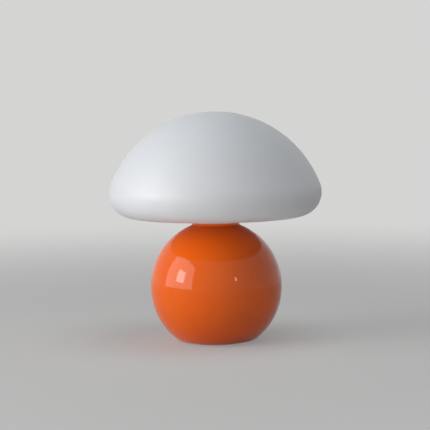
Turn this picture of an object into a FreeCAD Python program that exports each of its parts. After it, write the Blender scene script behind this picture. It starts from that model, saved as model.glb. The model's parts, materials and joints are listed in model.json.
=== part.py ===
import FreeCAD, Part
import math
import os

from FreeCAD import Placement, Rotation, Vector

# Mushroom table lamp: a satin opal glass cap standing in a cup on top of a gloss lacquered steel ball.
#
# Millimetres, +Z up. The origin is the middle of the foot pad's underside, on the table. The cable
# inlet faces +Y, the back of the lamp.
#
# How it goes together: a threaded stem runs up the middle. At the bottom its nut pulls a dished
# plate up against the ball's turned-in foot, with a cast weight above it. At the top another nut
# pulls the neck cup down on the ball's collar. The lampholder screws on the stem's end, and the
# glass cap's own neck drops into the cup and stands on a silicone ring, so it lifts straight off.

# ---------------------------------------------------------------- driving dimensions, mm and degrees
# Ball, one spun steel shell
BALL_RADIUS = 77.4
BALL_BELT = 1.4  # straight band between the upper and lower halves
BALL_WALL = 1.2
BALL_FOOT_ROUND = 10.0
FOOT_RING_RADIUS = 42.5  # where the round meets the flat of the lowest ring
FOOT_LAND = 1.0  # width of that flat
FOOT_RECESS = 2.3  # how far the turned-in foot steps up above the lowest ring
FOOT_STEP_BEND = 0.4
FOOT_FLANGE = 4.0  # width of the turned-in foot that lies on the base plate
COLLAR_RADIUS = 28.0  # upturned collar round the neck hole
COLLAR_HEIGHT = 1.5
COLLAR_BEND = 2.5

# Foot pad and dished base plate
PAD_THICKNESS = 2.0
PAD_INNER = 25.0
PAD_MARGIN = 1.6  # plate left bare outside the pad
PLATE_THICKNESS = 1.5
PLATE_FIT = 0.5
PAN_HEIGHT = 8.5  # how far the middle of the plate is pressed up
PAN_RADIUS = 16.0
PAN_SLOPE = 22.0
PAN_BEND = 2.4

# Cast weight
WEIGHT_HEIGHT = 20.0
WEIGHT_OUTER_GAP = 1.5  # to the ball's foot opening, so the weight goes in through it
WEIGHT_PAN_GAP = 1.2
WEIGHT_ROUND = 2.5

# Threaded stem, nuts and washers
STEM_RADIUS = 5.0
STEM_BORE = 4.0
STEM_FIT = 0.25
STEM_BELOW_NUT = 1.5
STEM_SLOT_WIDTH = 6.0
STEM_SLOT_LENGTH = 22.0
STEM_SLOT_RISE = 20.0
NUT_FLATS = 14.0
NUT_HEIGHT = 3.0
NUT_CHAMFER = 0.7
THREAD_FIT = 0.02  # between a screw and its nut, both cut as plain cylinders
SCREW_SLOT = 1.0  # width and depth of a screwdriver slot
WASHER_RADIUS = 9.0
WASHER_THICKNESS = 0.8

# Earth tag on the weight
TAG_THICKNESS = 0.8
TAG_WIDTH = 9.0
TAG_REACH = 15.0
TAG_RISE = 14.0
TAG_HOLE = 2.15
EARTH_SCREW_RADIUS = 2.0
EARTH_SCREW_LENGTH = 9.0
EARTH_HEAD_RADIUS = 3.8
EARTH_HEAD_HEIGHT = 2.4
EARTH_HEAD_CHAMFER = 1.0
EARTH_NUT_FLATS = 7.0
EARTH_NUT_HEIGHT = 2.6

# Cable inlet at the back
INLET_DROP = 35.0  # the inlet points this far below the horizon, square to the ball
INLET_HOLE = 4.6
INLET_BORE = 3.4
INLET_THROAT = 1.2  # rubber left round the bore at the grommet's outer end
INLET_FLANGE = 7.4
INLET_INNER_FLANGE = 6.2
INLET_RIM = 1.4
INLET_OUTER_LENGTH = 2.8
INLET_INNER_LENGTH = 2.2
INLET_ROUND = 0.7

# Neck cup
CUP_WALL = 1.0
CUP_FIT = 0.3  # to the inside of the ball's collar
CUP_DEPTH = 15.6
CUP_FLOOR_BEND = 1.5
CUP_RIM_BEND = 1.3
CUP_FLANGE_MARGIN = 0.2  # the flange stops this far inside the collar's outer face

# Silicone ring
RING_THICKNESS = 2.0
RING_WIDTH = 4.2

# Glass cap
GLASS_RADIUS = 125.0
GLASS_RISE = 95.2  # from the widest ring up to the crown
GLASS_WALL = 2.7
CHEEK_RADIUS = 27.6
CHEEK_ANGLE = -86.0  # facing where the cheek runs into the underside
UNDERSIDE_ANGLE = -88.4  # facing of the underside beside the neck
GLASS_NECK_FIT = 0.9
GLASS_NECK_LENGTH = 15.9
GLASS_NECK_BEND = 3.0
SEAT_GAP = 0.3

# Lampholder for a small screw cap bulb
HOLDER_RADIUS = 14.0
HOLDER_CAP_WALL = 1.8
HOLDER_ENTRY_RADIUS = 7.6
HOLDER_ENTRY_LENGTH = 5.0
HOLDER_FLARE = 7.0
HOLDER_CAP_SKIRT = 8.0
HOLDER_BARREL = 25.0
BARREL_STEP = 0.4
BARREL_STEP_HEIGHT = 3.0
HOLDER_MOUTH_RADIUS = 12.2
HOLDER_MOUTH_ROUND = 0.8
HOLDER_MOUTH_FIT = 0.8  # round the bulb cap's skirt
HOLDER_SPIGOT = 4.0
HOLDER_FIT = 0.15
HOLDER_RIBS = 20
HOLDER_RIB_RADIUS = 0.55
HOLDER_RIB_MARGIN = 0.5  # skirt left smooth above and below the ribs
CORE_TERMINAL_PITCH = 13.0
TERMINAL_RADIUS = 1.7
TERMINAL_LENGTH = 6.0
GRUB_RADIUS = 1.5
GRUB_LENGTH = 3.2
GRUB_SLOT = 0.6
SLEEVE_WALL = 0.5
SLEEVE_LENGTH = 15.0
SLEEVE_FIT = 0.1
SLEEVE_DROP = 2.2  # sleeve's top below the bulb cap's shoulder
CONTACT_THICKNESS = 0.5
CONTACT_WIDTH = 4.5
CONTACT_FOOT = 1.2  # flat of the centre strip on the core
CONTACT_PAD = 1.6  # half length of its raised end
CONTACT_GAP = 0.3

# Candle shaped filament bulb
BULB_THREAD_RADIUS = 6.9
BULB_THREAD_LENGTH = 13.5
BULB_THREAD_FIT = 0.3
BULB_SKIRT_RADIUS = 8.5
BULB_SKIRT_LENGTH = 5.6
BULB_CAP_WALL = 0.35
BULB_CAP_SHOULDER = 1.8
BULB_CAP_BEND = 1.2
BULB_CAP_EYE = 5.2  # hole in the cap's foot
BULB_CAP_PROUD = 1.5  # cap left showing above the holder's mouth
BULB_INSULATOR_HEIGHT = 3.4
BULB_INSULATOR_LIP = 0.4
BULB_TIP_RADIUS = 2.4
BULB_TIP_HEIGHT = 1.2
BULB_GLASS_WALL = 0.8
BULB_TIP_ROUND = 3.6
BULB_TIP_ANGLE = 35.0
BULB_WAIST_ANGLE = -48.0
BULB_RADIUS = 17.5
BULB_WAIST_BEND = 12.0
BULB_GLASS_IN_CAP = 4.6
CEMENT = 0.1  # between the glass and the cap, and where the stem's flare is fused in
BULB_STEM_RADIUS = 2.0
BULB_STEM_FOOT = 5.6
BULB_STEM_HEIGHT = 30.0
BULB_STEM_HEAD = 1.2  # bead at the top
FILAMENTS = 4
FILAMENT_RADIUS = 0.9
FILAMENT_LENGTH = 27.0
FILAMENT_CIRCLE = 5.2
FILAMENT_ABOVE_STEM = 1.5
WIRE_RADIUS = 0.3
WIRE_LEG_RISE = 3.0

# ---------------------------------------------------------------- places worked out from them
PLATE_TOP = PAD_THICKNESS + PLATE_THICKNESS
BALL_GAP = PLATE_TOP - FOOT_RECESS  # the ball's lowest ring stands this far above the table
FOOT_FACING = -math.degrees(math.acos(FOOT_RING_RADIUS / (BALL_RADIUS - BALL_FOOT_ROUND)))
BALL_DEPTH = BALL_FOOT_ROUND - (BALL_RADIUS - BALL_FOOT_ROUND) * math.sin(math.radians(FOOT_FACING))
BALL_LOW_CENTRE = BALL_GAP + BALL_DEPTH
BALL_HIGH_CENTRE = BALL_LOW_CENTRE + BALL_BELT
COLLAR_FACING = math.degrees(math.acos((COLLAR_RADIUS + COLLAR_BEND) / (BALL_RADIUS + COLLAR_BEND)))
COLLAR_REACH = (BALL_RADIUS + COLLAR_BEND) * math.sin(math.radians(COLLAR_FACING))
COLLAR_TOP_Z = BALL_HIGH_CENTRE + COLLAR_REACH + COLLAR_HEIGHT

FOOT_TURN = BALL_WALL + FOOT_STEP_BEND
FOOT_STEP_RADIUS = FOOT_RING_RADIUS - FOOT_LAND - FOOT_TURN
FOOT_OPENING = FOOT_STEP_RADIUS - FOOT_FLANGE
PLATE_RADIUS = FOOT_STEP_RADIUS - PLATE_FIT
PAN_TOP = PLATE_TOP + PAN_HEIGHT
WEIGHT_TOP = PLATE_TOP + WEIGHT_HEIGHT
LOWER_NUT_Z = PAN_TOP - PLATE_THICKNESS - WASHER_THICKNESS - NUT_HEIGHT
WEIGHT_NUT_Z = WEIGHT_TOP + TAG_THICKNESS
STEM_HOLE = STEM_RADIUS + STEM_FIT

CUP_INNER = COLLAR_RADIUS - BALL_WALL - CUP_FIT - CUP_WALL
CUP_RIM_Z = COLLAR_TOP_Z + CUP_WALL
CUP_FLOOR_Z = CUP_RIM_Z - CUP_DEPTH
CUP_NUT_Z = CUP_FLOOR_Z + WASHER_THICKNESS

GLASS_NECK_RADIUS = CUP_INNER - GLASS_NECK_FIT
GLASS_LIP_Z = CUP_FLOOR_Z + RING_THICKNESS + SEAT_GAP

HOLDER_Z = CUP_NUT_Z + NUT_HEIGHT
STEM_TOP_Z = HOLDER_Z + HOLDER_ENTRY_LENGTH + HOLDER_CAP_WALL
HOLDER_SHOULDER_Z = HOLDER_Z + HOLDER_ENTRY_LENGTH + HOLDER_FLARE + HOLDER_CAP_SKIRT
HOLDER_MOUTH_Z = HOLDER_SHOULDER_Z + HOLDER_BARREL
SPIGOT_RADIUS = HOLDER_RADIUS - HOLDER_CAP_WALL - HOLDER_FIT
BARREL_FOOT_Z = HOLDER_SHOULDER_Z - HOLDER_SPIGOT
CORE_TOP_Z = BARREL_FOOT_Z - HOLDER_FIT
SLEEVE_INNER = BULB_THREAD_RADIUS + BULB_THREAD_FIT
SLEEVE_OUTER = SLEEVE_INNER + SLEEVE_WALL

BULB_CAP_TOP_Z = HOLDER_MOUTH_Z + BULB_CAP_PROUD
BULB_THREAD_TOP_Z = BULB_CAP_TOP_Z - BULB_SKIRT_LENGTH - BULB_CAP_SHOULDER
SLEEVE_TOP_Z = BULB_THREAD_TOP_Z - SLEEVE_DROP
BULB_THREAD_FOOT_Z = BULB_THREAD_TOP_Z - BULB_THREAD_LENGTH
BULB_TIP_Z = BULB_THREAD_FOOT_Z - BULB_INSULATOR_HEIGHT - BULB_TIP_HEIGHT


# ---------------------------------------------------------------- outlines and small helpers
def facing(angle):
    """Unit vector, as (radius, height), of a surface that faces this many degrees above the horizon."""
    return math.cos(math.radians(angle)), math.sin(math.radians(angle))


def run(length, angle):
    """A straight step of an outline whose surface faces angle."""
    return ("run", length, angle, angle)


def bend(radius, start, end):
    """A tangent arc between two facings. A negative radius makes it hollow."""
    return ("bend", radius, start, end)


def drop_of(steps):
    """How far a list of steps moves, as (outwards, downwards)."""
    _, (r, z) = walk((0.0, 0.0), steps, 0.0)
    return r, -z


def walk(start, steps, depth):
    """The edges that follow steps at a depth below the surface, and where they end."""
    r, z = start
    edges = []
    for kind, size, a0, a1 in steps:
        c0, s0 = facing(a0)
        if kind == "run":
            if size < 1e-6:
                continue
            end = (r + size * s0, z - size * c0)
            edges.append(Part.makeLine(Vector(r, 0, z), Vector(end[0], 0, end[1])))
        else:
            radius = size - depth
            cr, cz = r - radius * c0, z - radius * s0
            cm, sm = facing((a0 + a1) / 2)
            c1, s1 = facing(a1)
            end = (cr + radius * c1, cz + radius * s1)
            middle = Vector(cr + radius * cm, 0, cz + radius * sm)
            edges.append(Part.Arc(Vector(r, 0, z), middle, Vector(end[0], 0, end[1])).toShape())
        r, z = end
    return edges, (r, z)


def revolve(edges):
    """The solid swept by a closed outline once round the lamp's axis."""
    face = Part.Face(Part.Wire(Part.__sortEdges__(edges)))
    solid = face.revolve(Vector(0, 0, 0), Vector(0, 0, 1), 360)
    return Part.Solid(solid.Shells[0]) if solid.ShapeType != "Solid" else solid


def thin_wall(start, steps, wall, rounded_end=False):
    """A shell of revolution: its outer surface follows steps, and its inner one lies a wall deeper."""
    c0, s0 = facing(steps[0][2])
    inner_start = (start[0] - wall * c0, start[1] - wall * s0)
    outer, outer_end = walk(start, steps, 0.0)
    inner, inner_end = walk(inner_start, steps, wall)
    closing = [line(start, inner_start)]
    if rounded_end:
        c1, s1 = facing(steps[-1][3])
        middle = (
            (outer_end[0] + inner_end[0]) / 2 + wall / 2 * s1,
            (outer_end[1] + inner_end[1]) / 2 - wall / 2 * c1,
        )
        points = [Vector(p[0], 0, p[1]) for p in (outer_end, middle, inner_end)]
        closing.append(Part.Arc(*points).toShape())
    else:
        closing.append(line(outer_end, inner_end))
    return revolve(outer + inner + closing)


def line(a, b):
    return Part.makeLine(Vector(a[0], 0, a[1]), Vector(b[0], 0, b[1]))


def turned(points):
    """A turned solid from its corner points, as (radius, height)."""
    return revolve([line(a, b) for a, b in zip(points, points[1:] + points[:1])])


def ring(inner, outer, z, height):
    return turned([(inner, z), (outer, z), (outer, z + height), (inner, z + height)])


def rounded(shape, radius, picks):
    """Rounds the circular edges of a turned solid at the (radius, height) places in picks."""
    edges = []
    for edge in shape.Edges:
        curve = edge.Curve
        if not isinstance(curve, Part.Circle):
            continue
        place = (curve.Radius, curve.Center.z)
        if any(abs(place[0] - r) < 1e-3 and abs(place[1] - z) < 1e-3 for r, z in picks):
            edges.append(edge)
    return shape.makeFillet(radius, edges)


def hex_nut(z, height, flats, bore):
    """A hexagon nut with both faces chamfered, standing on z."""
    corner = flats / 2 / math.cos(math.radians(30))
    points = []
    for k in range(7):
        turn = math.radians(60 * k)
        points.append(Vector(corner * math.cos(turn), corner * math.sin(turn), z))
    prism = Part.Face(Part.makePolygon(points)).extrude(Vector(0, 0, height))
    chamfer = min(NUT_CHAMFER, height / 4)
    envelope = turned(
        [
            (bore, z),
            (flats / 2, z),
            (corner, z + chamfer),
            (corner, z + height - chamfer),
            (flats / 2, z + height),
            (bore, z + height),
        ]
    )
    return prism.common(envelope)


def cylinder(radius, length, base, direction):
    return Part.makeCylinder(radius, length, base, direction)


def rod_between(a, b, radius):
    return cylinder(radius, (b - a).Length, a, b - a)


# ---------------------------------------------------------------- the base
def inlet_direction():
    drop = math.radians(INLET_DROP)
    return Vector(0, math.cos(drop), -math.sin(drop))


def base_shell():
    """The ball: a collar, upper half, belt, lower half, and a foot turned in and stepped up."""
    steps = [
        run(COLLAR_HEIGHT, 0),
        bend(-COLLAR_BEND, 0, COLLAR_FACING),
        bend(BALL_RADIUS, COLLAR_FACING, 0),
        run(BALL_BELT, 0),
        bend(BALL_RADIUS, 0, FOOT_FACING),
        bend(BALL_FOOT_ROUND, FOOT_FACING, -90),
        run(FOOT_LAND, -90),
        bend(FOOT_TURN, -90, -180),
        run(FOOT_RECESS - FOOT_TURN - FOOT_STEP_BEND, -180),
        bend(-FOOT_STEP_BEND, -180, -90),
        run(FOOT_FLANGE - FOOT_STEP_BEND, -90),
    ]
    shell = thin_wall((COLLAR_RADIUS, COLLAR_TOP_Z), steps, BALL_WALL)
    centre = Vector(0, 0, BALL_LOW_CENTRE)
    return shell.cut(cylinder(INLET_HOLE, BALL_RADIUS + BALL_WALL, centre, inlet_direction()))


def inlet_grommet(shell):
    """Rubber grommet in the cable inlet. The ball's own wall cuts its groove."""
    inner = -BALL_WALL - INLET_INNER_LENGTH
    throat = INLET_BORE + INLET_THROAT
    blank = turned(
        [
            (INLET_BORE, inner),
            (INLET_INNER_FLANGE, inner),
            (INLET_INNER_FLANGE, 0),
            (INLET_FLANGE, 0),
            (INLET_FLANGE, INLET_RIM),
            (throat, INLET_OUTER_LENGTH),
            (INLET_BORE, INLET_OUTER_LENGTH),
        ]
    )
    blank = rounded(blank, INLET_ROUND, [(INLET_INNER_FLANGE, inner), (INLET_FLANGE, INLET_RIM)])
    # The ball curves away under the flange, so a skirt takes the flange down to it.
    sag = BALL_RADIUS - math.sqrt(BALL_RADIUS**2 - INLET_FLANGE**2)
    skirt = ring(INLET_INNER_FLANGE, INLET_FLANGE, -sag, sag)
    direction = inlet_direction()
    body = blank.fuse(skirt).removeSplitter()
    body.Placement = Placement(
        Vector(0, 0, BALL_LOW_CENTRE) + direction * BALL_RADIUS,
        Rotation(Vector(0, 0, 1), direction),
    )
    return max(body.cut(shell).Solids, key=lambda solid: solid.Volume)


def base_plate():
    """Dished steel plate. Its raised middle leaves room for the stem's nut above the table."""
    steep = math.radians(PAN_SLOPE)
    fall = PAN_HEIGHT - 2 * PAN_BEND * (1 - math.sin(steep))
    steps = [
        run(PAN_RADIUS - STEM_HOLE, 90),
        bend(PAN_BEND, 90, PAN_SLOPE),
        run(fall / math.cos(steep), PAN_SLOPE),
        bend(-PAN_BEND, PAN_SLOPE, 90),
    ]
    out, _ = drop_of(steps)
    steps.append(run(PLATE_RADIUS - STEM_HOLE - out, 90))
    return thin_wall((STEM_HOLE, PAN_TOP), steps, PLATE_THICKNESS)


def pan_foot_radius():
    """Where the slope of the plate's pan meets its flat rim."""
    steep = math.radians(PAN_SLOPE)
    fall = PAN_HEIGHT - 2 * PAN_BEND * (1 - math.sin(steep))
    return PAN_RADIUS + 2 * PAN_BEND * math.cos(steep) + fall * math.tan(steep)


def foot_pad():
    return ring(PAD_INNER, PLATE_RADIUS - PAD_MARGIN, 0, PAD_THICKNESS)


def weight():
    """Cast iron disc, hollowed underneath to sit over the plate's pan."""
    outer = FOOT_OPENING - WEIGHT_OUTER_GAP
    hollow = pan_foot_radius() + WEIGHT_PAN_GAP
    blank = turned(
        [
            (STEM_HOLE, PAN_TOP),
            (hollow, PAN_TOP),
            (hollow, PLATE_TOP),
            (outer, PLATE_TOP),
            (outer, WEIGHT_TOP),
            (STEM_HOLE, WEIGHT_TOP),
        ]
    )
    return rounded(blank, WEIGHT_ROUND, [(outer, WEIGHT_TOP)])


def stem_tube():
    """Threaded tube with a slot at the back, where the cable turns in and goes up to the holder."""
    foot = LOWER_NUT_Z - STEM_BELOW_NUT
    tube = ring(STEM_BORE, STEM_RADIUS, foot, STEM_TOP_Z - foot)
    low = WEIGHT_TOP + STEM_SLOT_RISE
    half = STEM_SLOT_WIDTH / 2
    straight = STEM_SLOT_LENGTH - STEM_SLOT_WIDTH
    slot = Part.makeBox(STEM_SLOT_WIDTH, STEM_RADIUS, straight, Vector(-half, 0, low + half))
    for z in (low + half, low + half + straight):
        slot = slot.fuse(cylinder(half, STEM_RADIUS, Vector(0, 0, z), Vector(0, 1, 0)))
    return tube.cut(slot)


def earth_tag():
    """Steel tag clamped under the weight's nut, with an upright leaf for the earth screw."""
    flat = ring(STEM_HOLE, WASHER_RADIUS, WEIGHT_TOP, TAG_THICKNESS)
    half = TAG_WIDTH / 2
    arm = Part.makeBox(TAG_WIDTH, TAG_REACH, TAG_THICKNESS, Vector(-half, 0, WEIGHT_TOP))
    leaf_at = Vector(-half, TAG_REACH - TAG_THICKNESS, WEIGHT_TOP)
    leaf = Part.makeBox(TAG_WIDTH, TAG_THICKNESS, TAG_RISE, leaf_at)
    stem_way = cylinder(STEM_HOLE, TAG_THICKNESS, Vector(0, 0, WEIGHT_TOP), Vector(0, 0, 1))
    hole_at = Vector(0, TAG_REACH - TAG_THICKNESS, earth_screw_height())
    hole = cylinder(TAG_HOLE, TAG_THICKNESS, hole_at, Vector(0, 1, 0))
    return flat.fuse([arm, leaf]).removeSplitter().cut([stem_way, hole])


def earth_screw_height():
    return WEIGHT_TOP + TAG_RISE - TAG_WIDTH / 2


def earth_screw():
    """Pan head screw through the tag's leaf, with its nut on the far side."""
    head = turned(
        [
            (0, -EARTH_HEAD_HEIGHT),
            (EARTH_HEAD_RADIUS - EARTH_HEAD_CHAMFER, -EARTH_HEAD_HEIGHT),
            (EARTH_HEAD_RADIUS, -EARTH_HEAD_HEIGHT + EARTH_HEAD_CHAMFER),
            (EARTH_HEAD_RADIUS, 0),
            (EARTH_SCREW_RADIUS, 0),
            (EARTH_SCREW_RADIUS, EARTH_SCREW_LENGTH),
            (0, EARTH_SCREW_LENGTH),
        ]
    )
    slot_at = Vector(-EARTH_HEAD_RADIUS, -SCREW_SLOT / 2, -EARTH_HEAD_HEIGHT)
    slot = Part.makeBox(2 * EARTH_HEAD_RADIUS, SCREW_SLOT, SCREW_SLOT, slot_at)
    nut = hex_nut(TAG_THICKNESS, EARTH_NUT_HEIGHT, EARTH_NUT_FLATS, EARTH_SCREW_RADIUS + THREAD_FIT)
    placed = []
    for solid in (head.cut(slot), nut):
        copy = solid.copy()
        copy.Placement = Placement(
            Vector(0, TAG_REACH - TAG_THICKNESS, earth_screw_height()),
            Rotation(Vector(0, 0, 1), Vector(0, 1, 0)),
        )
        placed.append(copy)
    return Part.makeCompound(placed)


# ---------------------------------------------------------------- the neck
def neck_cup():
    """Pressed cup hung in the ball's collar by its flange."""
    wall_height = CUP_DEPTH - CUP_FLOOR_BEND - CUP_RIM_BEND
    flange = COLLAR_RADIUS - CUP_FLANGE_MARGIN - CUP_INNER - CUP_RIM_BEND
    steps = [
        run(CUP_INNER - CUP_FLOOR_BEND - STEM_HOLE, 90),
        bend(-CUP_FLOOR_BEND, 90, 180),
        run(wall_height, 180),
        bend(CUP_RIM_BEND, 180, 90),
        run(flange, 90),
    ]
    return thin_wall((STEM_HOLE, CUP_FLOOR_Z), steps, CUP_WALL)


def neck_ring():
    """Silicone ring on the cup's floor. The glass neck stands on it."""
    outer = CUP_INNER - CUP_FLOOR_BEND
    return ring(outer - RING_WIDTH, outer, CUP_FLOOR_Z, RING_THICKNESS)


def shade_glass():
    """Blown opal glass cap: crown, cheek, slightly sagging underside, and a neck with a round lip."""
    # The crown's arc starts level on the axis and takes in the cheek's arc from inside.
    reach = GLASS_RADIUS - CHEEK_RADIUS
    crown = (reach**2 + GLASS_RISE**2 - CHEEK_RADIUS**2) / (2 * (GLASS_RISE - CHEEK_RADIUS))
    crown_edge = math.degrees(math.atan2(crown - GLASS_RISE, reach))
    top = [bend(crown, 90, crown_edge), bend(CHEEK_RADIUS, crown_edge, CHEEK_ANGLE)]
    cheek_foot, _ = drop_of(top)
    neck_start = GLASS_NECK_RADIUS + GLASS_NECK_BEND * (1 - facing(UNDERSIDE_ANGLE)[0])
    underside = (cheek_foot - neck_start) / (facing(CHEEK_ANGLE)[0] - facing(UNDERSIDE_ANGLE)[0])
    neck_fall = GLASS_NECK_BEND * -facing(UNDERSIDE_ANGLE)[1]
    steps = top + [
        bend(underside, CHEEK_ANGLE, UNDERSIDE_ANGLE),
        bend(-GLASS_NECK_BEND, UNDERSIDE_ANGLE, 0),
        run(GLASS_NECK_LENGTH - neck_fall - GLASS_WALL / 2, 0),
    ]
    _, fall = drop_of(steps)
    crown_z = GLASS_LIP_Z + GLASS_WALL / 2 + fall
    return thin_wall((0, crown_z), steps, GLASS_WALL, rounded_end=True)


# ---------------------------------------------------------------- the lampholder
def holder_cap():
    """Lower half of the lampholder, with its threaded entry on the stem and finger ribs."""
    inner_flare = HOLDER_RADIUS - HOLDER_CAP_WALL
    flare_z = HOLDER_Z + HOLDER_ENTRY_LENGTH
    skirt_z = flare_z + HOLDER_FLARE
    cap = turned(
        [
            (STEM_RADIUS + HOLDER_FIT, HOLDER_Z),
            (HOLDER_ENTRY_RADIUS, HOLDER_Z),
            (HOLDER_ENTRY_RADIUS, flare_z),
            (HOLDER_RADIUS, skirt_z),
            (HOLDER_RADIUS, HOLDER_SHOULDER_Z),
            (inner_flare, HOLDER_SHOULDER_Z),
            (inner_flare, skirt_z),
            (STEM_RADIUS + HOLDER_FIT, flare_z + HOLDER_CAP_WALL),
        ]
    )
    ribs = []
    rib_length = HOLDER_CAP_SKIRT - 2 * HOLDER_RIB_MARGIN
    for k in range(HOLDER_RIBS):
        turn = math.radians(360 / HOLDER_RIBS * k)
        out = Vector(math.cos(turn), math.sin(turn), 0) * HOLDER_RADIUS
        foot = out + Vector(0, 0, skirt_z + HOLDER_RIB_MARGIN)
        ribs.append(cylinder(HOLDER_RIB_RADIUS, rib_length, foot, Vector(0, 0, 1)))
    cap = cap.fuse(ribs)
    hole_at = Vector(0, 0, HOLDER_Z + HOLDER_ENTRY_LENGTH / 2)
    return cap.cut(cylinder(GRUB_RADIUS, HOLDER_ENTRY_RADIUS, hole_at, Vector(0, -1, 0)))


def holder_grub_screw():
    """Locks the holder's entry on the stem."""
    point = Vector(0, -STEM_RADIUS - THREAD_FIT, HOLDER_Z + HOLDER_ENTRY_LENGTH / 2)
    screw = cylinder(GRUB_RADIUS - THREAD_FIT, GRUB_LENGTH, point, Vector(0, -1, 0))
    slot_at = point - Vector(GRUB_RADIUS, GRUB_LENGTH, GRUB_SLOT / 2)
    return screw.cut(Part.makeBox(2 * GRUB_RADIUS, SCREW_SLOT, GRUB_SLOT, slot_at))


def holder_core():
    """Insulating block that carries the contacts, with a wire passage and two terminal holes."""
    skirt_z = HOLDER_Z + HOLDER_ENTRY_LENGTH + HOLDER_FLARE
    core = turned(
        [
            (STEM_BORE, STEM_TOP_Z + HOLDER_FIT),
            (STEM_RADIUS, STEM_TOP_Z + HOLDER_FIT),
            (SPIGOT_RADIUS, skirt_z + HOLDER_FIT),
            (SPIGOT_RADIUS, CORE_TOP_Z),
            (STEM_BORE, CORE_TOP_Z),
        ]
    )
    for side in (-1, 1):
        at = Vector(side * CORE_TERMINAL_PITCH / 2, 0, CORE_TOP_Z - TERMINAL_LENGTH)
        core = core.cut(cylinder(TERMINAL_RADIUS + THREAD_FIT, TERMINAL_LENGTH, at, Vector(0, 0, 1)))
    return core


def holder_terminals():
    """The two wire terminal screws, heads level with the core's top."""
    screws = []
    for side in (-1, 1):
        at = Vector(side * CORE_TERMINAL_PITCH / 2, 0, CORE_TOP_Z - TERMINAL_LENGTH)
        screw = cylinder(TERMINAL_RADIUS, TERMINAL_LENGTH, at, Vector(0, 0, 1))
        slot_at = at + Vector(-TERMINAL_RADIUS, -GRUB_SLOT / 2, TERMINAL_LENGTH - SCREW_SLOT)
        screws.append(screw.cut(Part.makeBox(2 * TERMINAL_RADIUS, GRUB_SLOT, SCREW_SLOT, slot_at)))
    return Part.makeCompound(screws)


def holder_barrel():
    """Upper half of the lampholder: a spigot in the cap, a tapered barrel and a wide mouth."""
    mouth_inner = BULB_SKIRT_RADIUS + HOLDER_MOUTH_FIT
    bore = SLEEVE_OUTER + SLEEVE_FIT
    skirt_foot = SLEEVE_TOP_Z + mouth_inner - bore
    barrel = turned(
        [
            (bore, BARREL_FOOT_Z),
            (SPIGOT_RADIUS, BARREL_FOOT_Z),
            (SPIGOT_RADIUS, HOLDER_SHOULDER_Z),
            (HOLDER_RADIUS, HOLDER_SHOULDER_Z),
            (HOLDER_RADIUS - BARREL_STEP, HOLDER_SHOULDER_Z + BARREL_STEP_HEIGHT),
            (HOLDER_MOUTH_RADIUS, HOLDER_MOUTH_Z),
            (mouth_inner, HOLDER_MOUTH_Z),
            (mouth_inner, skirt_foot),
            (bore, SLEEVE_TOP_Z),
        ]
    )
    return rounded(barrel, HOLDER_MOUTH_ROUND, [(HOLDER_MOUTH_RADIUS, HOLDER_MOUTH_Z)])


def holder_sleeve():
    """Brass screw sleeve lining the barrel."""
    return ring(SLEEVE_INNER, SLEEVE_OUTER, SLEEVE_TOP_Z - SLEEVE_LENGTH, SLEEVE_LENGTH)


def holder_side_contact():
    """Strip from one terminal up to the foot of the screw sleeve, curved like the sleeve."""
    foot = SLEEVE_TOP_Z - SLEEVE_LENGTH
    height = foot - CORE_TOP_Z
    window = Part.makeBox(SLEEVE_OUTER, CONTACT_WIDTH, height, Vector(0, -CONTACT_WIDTH / 2, CORE_TOP_Z))
    riser = ring(SLEEVE_INNER, SLEEVE_OUTER, CORE_TOP_Z, height).common(window)
    tab_foot = ring(STEM_BORE + CONTACT_GAP, SLEEVE_OUTER, CORE_TOP_Z, CONTACT_THICKNESS).common(window)
    return riser.fuse(tab_foot).removeSplitter()


def holder_centre_contact():
    """Sprung strip that rises from the core to just under the bulb's tip."""
    tip = BULB_TIP_Z - CONTACT_GAP
    reach = CORE_TERMINAL_PITCH / 2 - TERMINAL_RADIUS
    t = CONTACT_THICKNESS
    outline = [
        (-reach, CORE_TOP_Z),
        (-reach, CORE_TOP_Z + t),
        (-reach + CONTACT_FOOT, CORE_TOP_Z + t),
        (-CONTACT_PAD, tip),
        (CONTACT_PAD, tip),
        (CONTACT_PAD, tip - t),
        (-CONTACT_PAD + t / 2, tip - t),
        (-reach + CONTACT_FOOT + t, CORE_TOP_Z),
    ]
    points = [Vector(x, -CONTACT_WIDTH / 2, z) for x, z in outline + outline[:1]]
    return Part.Face(Part.makePolygon(points)).extrude(Vector(0, CONTACT_WIDTH, 0))


# ---------------------------------------------------------------- the bulb
def bulb_cap():
    """Screw cap of thin metal: a skirt for the glass, a shoulder, the thread's band, a turned-in foot."""
    step = BULB_SKIRT_RADIUS - BULB_THREAD_RADIUS
    lean = math.degrees(math.atan2(step, BULB_CAP_SHOULDER))
    steps = [
        run(BULB_SKIRT_LENGTH, 0),
        run(math.hypot(step, BULB_CAP_SHOULDER), -lean),
        run(BULB_THREAD_LENGTH - BULB_CAP_BEND, 0),
        bend(BULB_CAP_BEND, 0, -90),
        run(BULB_THREAD_RADIUS - BULB_CAP_BEND - BULB_CAP_EYE, -90),
    ]
    return thin_wall((BULB_SKIRT_RADIUS, BULB_CAP_TOP_Z), steps, BULB_CAP_WALL)


def bulb_insulator():
    """Black glass cone in the foot of the cap, spread inside it so that it can't drop out."""
    seat = BULB_THREAD_FOOT_Z + BULB_CAP_WALL
    return turned(
        [
            (0, BULB_THREAD_FOOT_Z - BULB_INSULATOR_HEIGHT),
            (BULB_TIP_RADIUS + BULB_INSULATOR_LIP, BULB_THREAD_FOOT_Z - BULB_INSULATOR_HEIGHT),
            (BULB_CAP_EYE, BULB_THREAD_FOOT_Z),
            (BULB_CAP_EYE, seat),
            (BULB_CAP_EYE + BULB_INSULATOR_LIP, seat),
            (BULB_CAP_EYE + BULB_INSULATOR_LIP, seat + BULB_INSULATOR_LIP),
            (0, seat + BULB_INSULATOR_LIP),
        ]
    )


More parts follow.
